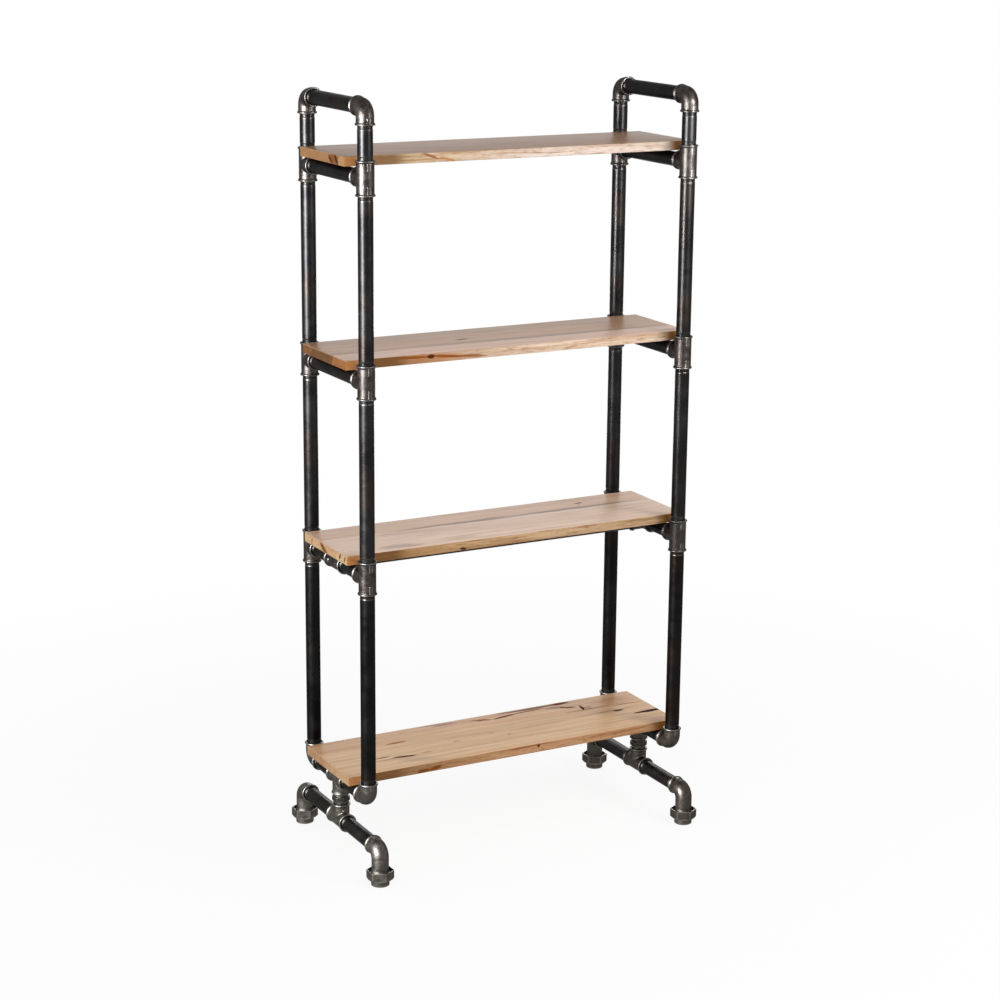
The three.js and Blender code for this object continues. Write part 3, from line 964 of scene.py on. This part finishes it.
def board_end(name, seed, look):
    """Sawn end: slanting blocks of end grain with fine pores, each block in a tone of its own."""
    material, nodes, shader = new_material(name, Specular_IOR_Level=0.1)
    own = nodes.add("ShaderNodeTexCoord").outputs["Object"]
    split = nodes.add("ShaderNodeSeparateXYZ", {"Vector": own})
    lean = nodes.math("ADD", split.outputs["Y"], nodes.math("MULTIPLY", split.outputs["Z"], 0.7))
    number = planks(nodes, lean, look["cuts"])
    offset = nodes.add("ShaderNodeCombineXYZ", {"Y": nodes.math("MULTIPLY", number, 1.3)})
    place = nodes.vector("ADD", own, offset.outputs[0])
    place = nodes.vector("ADD", place, (seed * 1.9, seed * 3.3, 0.0))
    turn = nodes.math("SINE", nodes.math("ADD", nodes.math("MULTIPLY", number, 2.4), seed))
    heart = nodes.add("ShaderNodeCombineXYZ", {"Y": nodes.math("MULTIPLY", turn, 0.09), "Z": 0.045})
    arcs = nodes.add(
        "ShaderNodeTexWave",
        {
            "Vector": nodes.stretched(nodes.vector("ADD", own, heart.outputs[0]), (0.0, 45.0, 60.0)),
            "Scale": 1.0,
            "Distortion": 9.0,
            "Detail": 3.0,
            "Detail Scale": 1.7,
        },
        wave_type="RINGS",
        rings_direction="X",
    ).outputs["Fac"]
    faint = nodes.span(nodes.noise(place, 45.0, 2.0), 0.35, 0.65, 0.25, 1.0)
    arcs = nodes.math("MULTIPLY", nodes.span(arcs, 0.4, 1.0, 0.0, 0.7), faint)
    tone = 0.0
    for step, share in enumerate(look["blocks"]):
        chosen = nodes.math("COMPARE", number, float(step))
        tone = nodes.math("ADD", nodes.math("MULTIPLY", chosen, share), tone)
    cloud = nodes.span(nodes.noise(place, 60.0, 3.0), 0.3, 0.7, -0.15, 0.15)
    tone = nodes.math("ADD", tone, cloud, clamp=True)
    pores = nodes.noise(place, 480.0, 4.0, 0.7)
    light, dark = look["end"]
    colour = nodes.mix(tone, light, dark)
    colour = shade(nodes, colour, arcs, rgb(0.70, 0.56, 0.42))
    colour = shade(nodes, colour, nodes.span(pores, 0.5, 0.72, 0.0, 0.7), rgb(0.62, 0.50, 0.38))
    # Painted highlight along the top arris of the end.
    colour = nodes.mix(nodes.span(split.outputs["Z"], 0.0086, 0.0098, 0.0, 0.5), colour, ARRIS_HIGHLIGHT)
    flat = nodes.add("ShaderNodeCombineXYZ", {"X": split.outputs["Y"], "Y": split.outputs["Z"]})
    marked_colour, depth = lay_marks(nodes, colour, flat.outputs[0], look["end_marks"], pores)
    left = nodes.math("LESS_THAN", split.outputs["X"], 0.0)
    nodes.put(shader.inputs["Base Color"], nodes.mix(left, colour, marked_colour))
    nodes.put(shader.inputs["Roughness"], nodes.span(pores, 0.2, 0.8, 0.6, 0.75))
    height = nodes.math("SUBTRACT", pores, depth)
    nodes.put(shader.inputs["Normal"], nodes.bump(height, 0.4, 0.0004))
    return material


# The radius of a board's eased edges, the hair line at a joint as half its width and its depth,
# and how many parts a board's length is made in.
EASE = 1.3 * MM
NICK, SUNK = 0.3 * MM, 0.2 * MM
BOARD_PARTS = 28
FACE, EDGE, END = range(3)


def board_mesh(name, size, joints, materials):
    """A board of edge-glued planks: eased edges, and a hair line at each joint, top and bottom."""
    half_x, half_y, half_z = size / 2
    angles = [math.radians(22.5 * step) for step in range(5)]
    quarter = [(EASE * (1 - math.sin(a)), EASE * (1 - math.cos(a))) for a in angles]

    def outline(inset):
        """The section's points, round from the bottom of the front edge."""
        wide, tall = half_y - inset, half_z - inset
        points = [(inset_y - wide, inset_z - tall) for inset_y, inset_z in quarter]
        points += [(inset_y - wide, tall - inset_z) for inset_y, inset_z in reversed(quarter)]
        for joint in joints:
            points += [(joint - NICK, tall), (joint, tall - SUNK), (joint + NICK, tall)]
        points += [(wide - inset_y, tall - inset_z) for inset_y, inset_z in quarter]
        points += [(wide - inset_y, inset_z - tall) for inset_y, inset_z in reversed(quarter)]
        for joint in reversed(joints):
            points += [(joint + NICK, -tall), (joint, SUNK - tall), (joint - NICK, -tall)]
        return points

    stations = [(depth - half_x, inset) for inset, depth in quarter]
    length = 2 * (half_x - EASE)
    for step in range(1, BOARD_PARTS):
        stations.append((EASE - half_x + length * step / BOARD_PARTS, 0.0))
    stations += [(half_x - depth, inset) for inset, depth in reversed(quarter)]

    skin = Skin()
    rows = [[(Vector((x, y, z)), 0.0) for y, z in outline(inset)] for x, inset in stations]
    rows = skin.grid(rows, closed=True)
    skin.face(rows[0])
    skin.face(rows[-1])
    bmesh.ops.recalc_face_normals(skin.mesh, faces=skin.mesh.faces)
    for face in skin.mesh.faces:
        if abs(face.normal.x) > 0.7:
            face.material_index = END
        elif abs(face.normal.y) > 0.7:
            face.material_index = EDGE
    return skin.data(name, materials, 30)


# Grey streaks, and painted shade from the uprights on some faces.
GREY_STREAK_AND_SHADE = rgb(0.195, 0.142, 0.115)
DARK = rgb(0.022, 0.004, 0.002)
PURPLE = rgb(0.125, 0.028, 0.024)
RED = rgb(0.28, 0.085, 0.030)
# Brown stains, and the painted shadow beside the left upright on the front edges.
BROWN_STAIN_AND_SHADE = rgb(0.19, 0.085, 0.028)
ORANGE = rgb(0.50, 0.20, 0.055)
KNOT = rgb(0.085, 0.020, 0.003)
RUST = rgb(0.26, 0.072, 0.008)
# Painted shadow for the edges beside the right upright.
RIGHT_UPRIGHT_SHADE = rgb(0.25, 0.10, 0.014)
# A painted highlight for the top arris of the ends.
ARRIS_HIGHLIGHT = rgb(0.80, 0.58, 0.38)
AMBER = rgb(0.66, 0.285, 0.096)

# A mark softer than this lies flat, as stains and painted shade do, and doesn't cut into the wood.
HARD_MARK = 0.65

# For each board, from the lowest: the joints between its planks and their tones, the lightest and
# darkest colours of its faces, edges and ends, the tint that its edges take towards the left, where
# the blocks of its ends meet, how dark each block is from the front to the back, and its marks, as
# stain() takes them.
# The edges are paler on the higher boards: partly painted light, as the front light falls off
# downward.
BOARDS = [
    {
        "joints": (-0.063, 0.0405),
        "shine": 0.32,
        "tones": (rgb(1.0, 1.0, 1.0), rgb(1.03, 1.04, 1.03), rgb(1.03, 0.98, 0.94)),
        "face": (rgb(0.71, 0.475, 0.28), rgb(0.60, 0.38, 0.21)),
        "edge": (rgb(0.55, 0.313, 0.165), rgb(0.44, 0.243, 0.123)),
        "edge_left": rgb(0.68, 0.68, 0.62),
        "end": (rgb(0.70, 0.462, 0.28), rgb(0.45, 0.24, 0.11)),
        "cuts": (-0.05, 0.02),
        "blocks": (0.15, 0.35, 0.65),
        "marks": [
            (-0.10, 0.109, 0.13, 0.010, 0, PURPLE, 0.9, 0.5),
            (-0.075, 0.101, 0.06, 0.009, -6, PURPLE, 0.7, 0.6),
            (-0.02, 0.097, 0.12, 0.006, -8, RED, 0.8, 0.6),
            (0.01, 0.087, 0.077, 0.0081, -10, PURPLE, 0.6, 0.8),
            (0.073, 0.086, 0.072, 0.0095, 9, PURPLE, 0.45, 1.0),
            (0.073, 0.086, 0.1, 0.016, 6, PURPLE, 1.0, 0.4),
            (0.14, 0.092, 0.121, 0.0081, 4, PURPLE, 0.6, 0.8),
            (0.16, 0.106, 0.242, 0.0162, 0, GREY_STREAK_AND_SHADE, 0.6, 0.85),
            (0.235, 0.106, 0.055, 0.0175, 0, PURPLE, 0.5, 0.9),
            (0.208, 0.086, 0.061, 0.0189, -12, PURPLE, 0.9, 0.7),
            (0.240, 0.073, 0.05, 0.0121, -20, PURPLE, 0.6, 0.95),
            (0.272, 0.058, 0.04, 0.0095, 84, DARK, 0.4, 1.0),
            (0.284, 0.051, 0.035, 0.018, 0, PURPLE, 0.8, 0.6),
            (0.300, 0.041, 0.209, 0.0054, 0, PURPLE, 0.6, 0.7),
            (0.39, 0.033, 0.11, 0.0068, 0, PURPLE, 0.6, 0.6),
            (0.36, 0.065, 0.16, 0.08, 0, RED, 1.0, 0.45),
            (0.339, -0.001, 0.033, 0.0135, 0, DARK, 0.5, 0.95),
            (0.315, 0.004, 0.165, 0.0068, 0, PURPLE, 0.7, 0.6),
            (0.408, -0.036, 0.094, 0.0135, 0, DARK, 0.35, 1.0),
            (-0.270, -0.051, 0.066, 0.0121, -7, DARK, 0.45, 0.95),
            (-0.285, -0.053, 0.165, 0.0068, 0, PURPLE, 0.7, 0.6),
            (-0.311, -0.034, 0.05, 0.0081, 0, PURPLE, 0.6, 0.7),
            (-0.206, -0.048, 0.044, 0.0081, 0, PURPLE, 0.8, 0.5),
            (-0.241, 0.040, 0.061, 0.0095, 0, RED, 0.6, 0.8),
            (-0.111, -0.014, 0.028, 0.0081, 0, PURPLE, 0.8, 0.45),
            (-0.013, -0.002, 0.013, 0.0095, 0, RED, 0.7, 0.6),
            (0.026, -0.027, 0.022, 0.0108, 40, RED, 0.7, 0.5),
            (0.124, -0.006, 0.198, 0.0054, 0, RED, 0.7, 0.5),
            (-0.086, 0.100, 0.088, 0.0162, 0, PURPLE, 0.9, 0.35),
            (-0.04, -0.062, 0.176, 0.0068, 0, BROWN_STAIN_AND_SHADE, 0.9, 0.3),
            # Painted shade from the uprights: this mark by the right front corner, the next by the
            # front left.
            (0.40, -0.095, 0.07, 0.05, 0, GREY_STREAK_AND_SHADE, 1.0, 0.35),
            (-0.24, -0.080, 0.16, 0.04, -20, GREY_STREAK_AND_SHADE, 1.0, 0.25),
        ],
        "edge_marks": [
            (0.055, 0.006, 0.013, 0.008, 70, KNOT, 0.5, 1.0),
            (0.035, 0.0085, 0.14, 0.006, 0, RUST, 0.9, 0.6),
            (-0.247, -0.0055, 0.036, 0.008, 3, KNOT, 0.4, 0.9),
            (-0.216, -0.003, 0.034, 0.009, 12, KNOT, 0.4, 0.9),
            (-0.232, -0.004, 0.10, 0.012, 6, RUST, 0.9, 0.5),
            (0.03, -0.0095, 0.30, 0.004, 0, RUST, 0.8, 0.5),
            # Painted shadow beside the left upright.
            (-0.345, 0.0, 0.14, 0.2, 0, BROWN_STAIN_AND_SHADE, 1.0, 0.95),
        ],
        "end_marks": [],
    },
    {
        "joints": (0.031,),
        "shine": 0.32,
        "tones": (rgb(1.0, 1.0, 1.0), rgb(0.92, 0.83, 0.74)),
        "face": (rgb(0.77, 0.59, 0.475), rgb(0.68, 0.50, 0.385)),
        "edge": (rgb(0.56, 0.38, 0.225), rgb(0.45, 0.30, 0.17)),
        "edge_left": rgb(0.75, 0.61, 0.42),
        "end": (rgb(0.80, 0.555, 0.33), rgb(0.60, 0.345, 0.165)),
        "cuts": (-0.06, 0.0255),
        "blocks": (0.12, 0.5, 0.17),
        "marks": [
            (0.07, 0.031, 0.92, 0.024, 0, GREY_STREAK_AND_SHADE, 0.9, 0.6),
            (-0.09, 0.031, 0.36, 0.020, 0, GREY_STREAK_AND_SHADE, 0.8, 0.6),
            (0.25, 0.029, 0.40, 0.022, 0, GREY_STREAK_AND_SHADE, 0.8, 0.65),
            (0.256, 0.066, 0.026, 0.010, 0, PURPLE, 0.6, 0.8),
            (0.254, 0.055, 0.012, 0.008, 60, RED, 0.7, 0.6),
            (-0.30, -0.085, 0.13, 0.045, 0, GREY_STREAK_AND_SHADE, 1.0, 0.5),
            (-0.26, -0.095, 0.08, 0.018, 6, BROWN_STAIN_AND_SHADE, 0.9, 0.4),
            (-0.14, -0.085, 0.13, 0.035, 0, RED, 1.0, 0.25),
            (-0.27, 0.016, 0.10, 0.006, 0, RED, 0.8, 0.35),
            (-0.016, 0.070, 0.018, 0.010, 0, ORANGE, 0.9, 0.3),
        ],
        "edge_marks": [
            (-0.148, -0.0065, 0.020, 0.008, -10, DARK, 0.5, 0.9),
            (0.17, 0.007, 0.08, 0.006, 0, RUST, 0.9, 0.6),
            (-0.33, 0.0005, 0.06, 0.005, 20, RUST, 0.8, 0.5),
            (-0.04, -0.0095, 0.40, 0.005, 0, RUST, 0.9, 0.5),
            # Painted shadow beside the left upright.
            (-0.345, 0.0, 0.14, 0.2, 0, BROWN_STAIN_AND_SHADE, 1.0, 1.0),
            (-0.42, 0.0, 0.05, 0.006, -12, ORANGE, 0.7, 0.8),
        ],
        "end_marks": [
            (0.010, -0.002, 0.056, 0.019, 26, RUST, 0.7, 0.75),
            (0.012, -0.001, 0.044, 0.009, 28, KNOT, 0.8, 0.75),
            (-0.078, 0.002, 0.018, 0.008, -60, KNOT, 0.5, 0.95),
            (-0.103, 0.001, 0.020, 0.007, -60, RUST, 0.5, 0.95),
            (0.075, 0.0, 0.03, 0.014, -50, RUST, 1.0, 0.4),
        ],
    },
    {
        "joints": (-0.0445,),
        "shine": 0.32,
        "tones": (rgb(1.0, 1.0, 1.0), rgb(0.68, 0.56, 0.42)),
        "face": (rgb(0.65, 0.458, 0.36), rgb(0.567, 0.385, 0.289)),
        "edge": (rgb(0.80, 0.635, 0.50), rgb(0.67, 0.49, 0.365)),
        "edge_left": rgb(0.41, 0.25, 0.125),
        "end": (rgb(0.48, 0.20, 0.075), rgb(0.215, 0.102, 0.038)),
        "cuts": (-0.047, 0.065),
        "blocks": (0.1, 1.0, 0.75),
        "marks": [
            (0.0, -0.036, 0.95, 0.030, 0, GREY_STREAK_AND_SHADE, 0.9, 0.5),
            (0.16, -0.040, 0.60, 0.022, 0, GREY_STREAK_AND_SHADE, 0.8, 0.5),
            (-0.40, -0.024, 0.12, 0.03, 0, GREY_STREAK_AND_SHADE, 0.9, 0.4),
            (-0.094, 0.004, 0.038, 0.010, 0, DARK, 0.6, 0.7),
            (-0.09, 0.006, 0.08, 0.016, 0, PURPLE, 0.9, 0.25),
            # Painted shade from the upright, by the right front corner.
            (0.41, -0.094, 0.07, 0.05, 0, GREY_STREAK_AND_SHADE, 1.0, 0.4),
            (0.0, 0.105, 0.8, 0.02, 0, GREY_STREAK_AND_SHADE, 1.0, 0.3),
        ],
        "edge_marks": [
            (-0.23, 0.0, 0.24, 0.032, -3, ORANGE, 1.0, 0.45),
            (-0.287, 0.005, 0.135, 0.0075, -2, RUST, 0.5, 0.95),
            (-0.19, 0.0012, 0.10, 0.0075, -5, RUST, 0.6, 0.95),
            (-0.13, -0.003, 0.10, 0.007, -4, RUST, 0.7, 0.8),
            (-0.23, 0.0035, 0.022, 0.011, 0, KNOT, 0.4, 1.0),
            (0.12, -0.005, 0.05, 0.007, 8, RUST, 0.9, 0.5),
            # Painted shadow beside the left upright.
            (-0.345, 0.0, 0.14, 0.2, 0, BROWN_STAIN_AND_SHADE, 1.0, 0.95),
        ],
        "end_marks": [],
    },
    {
        "joints": (0.010,),
        "shine": 0.26,
        "tones": (rgb(1.0, 1.0, 1.0), rgb(0.96, 0.95, 0.95)),
        # Far darker than the other faces: painted shade, as the top board gets only grazing light.
        "face": (rgb(0.262, 0.140, 0.070), rgb(0.207, 0.104, 0.049)),
        "edge": (rgb(0.755, 0.63, 0.55), rgb(0.66, 0.53, 0.44)),
        "edge_left": rgb(0.87, 0.76, 0.52),
        "end": (rgb(0.62, 0.37, 0.175), rgb(0.43, 0.21, 0.09)),
        "cuts": (-0.0845, -0.035),
        "blocks": (0.0, 0.85, 0.6),
        "marks": [
            (0.05, 0.056, 0.10, 0.035, 0, PURPLE, 1.0, 0.25),
            (0.13, 0.056, 0.10, 0.030, 0, PURPLE, 1.0, 0.2),
            (-0.2, -0.05, 0.24, 0.02, 0, GREY_STREAK_AND_SHADE, 0.9, 0.3),
        ],
        "edge_marks": [
            (-0.233, 0.004, 0.050, 0.007, -18, RUST, 0.6, 0.8),
            (-0.19, -0.005, 0.050, 0.006, -15, ORANGE, 0.6, 0.9),
            # Painted shadow beside the left upright.
            (-0.345, 0.0, 0.14, 0.2, 0, BROWN_STAIN_AND_SHADE, 1.0, 0.75),
        ],
        "end_marks": [
            (-0.061, 0.001, 0.058, 0.034, 0, RUST, 1.0, 0.7),
            (-0.046, -0.001, 0.030, 0.0095, 36, KNOT, 0.5, 0.95),
            (-0.076, 0.0, 0.036, 0.013, 50, KNOT, 0.6, 0.95),
        ],
    },
]


def dress_board(level, look):
    node = f"board_{level}"
    low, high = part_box(node)
    seed = 1.0 + level
    materials = [
        board_face(f"board_face_{level}", seed, look),
        board_edge(f"board_edge_{level}", seed, look),
        board_end(f"board_end_{level}", seed, look),
    ]
    data = board_mesh(node + "_planks", high - low, look["joints"], materials)
    put(f"shelf_board_{level}", data, (low + high) / 2, [node], "board_wood")


# ---- Assembly ----

nipple_mesh = hex_nipple()
for side in SIDES:
    dress_frame(side)
    dress_feet(side, nipple_mesh)
start = Vector((line("left", "front")[0] + REACH, middle("left_rail_1").y, LEVELS[1]))
finish = Vector((line("right", "front")[0] - REACH, start.y, LEVELS[1]))
put_pipe("stretcher_bar", start, finish, ["stretcher"])
for level, look in enumerate(BOARDS):
    dress_board(level, look)

# ---- Studio ----


def seen(nodes):
    """1 for a ray that shows the background: straight, mirrored or through glass."""
    path = nodes.add("ShaderNodeLightPath")
    rays = nodes.math("ADD", path.outputs["Is Camera Ray"], path.outputs["Is Glossy Ray"])
    return nodes.math("ADD", rays, path.outputs["Is Transmission Ray"], clamp=True)


def make_world():
    world = bpy.data.worlds.new("studio")
    world.use_nodes = True
    bpy.context.scene.world = world
    nodes = Nodes(world.node_tree)
    background = world.node_tree.nodes["Background"]
    background.inputs["Color"].default_value = rgb(1, 1, 1)
    strength = nodes.math("ADD", nodes.math("MULTIPLY", seen(nodes), 0.5), 0.5)
    nodes.put(background.inputs["Strength"], strength)


def make_floor():
    bpy.ops.mesh.primitive_circle_add(vertices=64, radius=9, fill_type="NGON")
    floor = bpy.context.object
    floor.name = "floor"
    material = bpy.data.materials.new("floor")
    material.use_nodes = True
    tree = material.node_tree
    tree.nodes.clear()
    nodes = Nodes(tree)
    pale = nodes.add("ShaderNodeBsdfDiffuse", {"Color": rgb(0.86, 0.86, 0.86)})
    white = nodes.add("ShaderNodeEmission", {"Color": rgb(1, 1, 1), "Strength": 1.0})
    place = nodes.add("ShaderNodeTexCoord").outputs["Object"]
    far = nodes.add("ShaderNodeVectorMath", {"Vector": place}, operation="LENGTH").outputs["Value"]
    share = nodes.math("MULTIPLY", seen(nodes), nodes.span(far, 0.6, 2.6, 0.9, 1.0))
    both = nodes.add("ShaderNodeMixShader", {"Fac": share})
    nodes.put(both.inputs[1], pale.outputs[0])
    nodes.put(both.inputs[2], white.outputs[0])
    out = nodes.add("ShaderNodeOutputMaterial")
    nodes.put(out.inputs["Surface"], both.outputs[0])
    floor.data.materials.append(material)


def softbox(name, place, target, width, height, power):
    """A softbox that the camera doesn't see, and that leaves no glare on the boards."""
    data = bpy.data.lights.new(name, "AREA")
    data.shape = "RECTANGLE"
    data.size, data.size_y = width, height
    data.energy = power
    light = bpy.data.objects.new(name, data)
    bpy.context.scene.collection.objects.link(light)
    aim = (Vector(target) - Vector(place)).normalized()
    light.matrix_world = Matrix.Translation(place) @ aim.to_track_quat("-Z", "Y").to_matrix().to_4x4()
    light.visible_camera = False
    light.visible_glossy = False
    return light


def panel(name, place, target, width, height, power, spread, onto="metal"):
    """A bright panel that shows only as a highlight on one group of the metalwork."""
    light = softbox(name, place, target, width, height, power)
    light.visible_diffuse = False
    light.visible_glossy = True
    light.light_linking.receiver_collection = METALWORK[onto]
    light.data.color = (0.95, 0.975, 1.0)
    light.data.spread = math.radians(spread)


make_world()
make_floor()
softbox("left_box", (-3.56, -1.11, 1.2), (0, 0, 1.2), 1.1, 2.1, 35)
softbox("right_box", (1.6, -2.2, 1.9), (0.2, 0, 1.2), 0.8, 1.2, 34)
softbox("top_box", (0, -1.6, 3.7), (0, 0, 1), 2.4, 2.0, 34)
panel("left_panel", (-3.56, -1.11, 1.62), (0, 0, 1.62), 1.1, 1.6, 1150, 180, "open")
panel("far_panel", (-3.56, -1.11, 1.62), (0.4, 0, 1.8), 1.1, 1.6, 30, 30, "flagged")
panel("right_panel", (0.65, -1.4, 1.9), (0.5, -0.15, 1.65), 0.4, 0.75, 21, 80)
panel("right_glow", (1.6, -2.2, 1.9), (0.2, 0, 1.2), 0.8, 1.2, 20, 180)
panel("top_glow", (0, -1.6, 3.7), (0, 0, 1), 2.4, 2.0, 34, 180)
panel("rear_panel", (0.85, 1.42, 0.78), (0, -0.1, 0.07), 1.4, 0.55, 12, 100)

bpy.context.scene.view_settings.view_transform = "Standard"
bpy.context.view_layer.update()
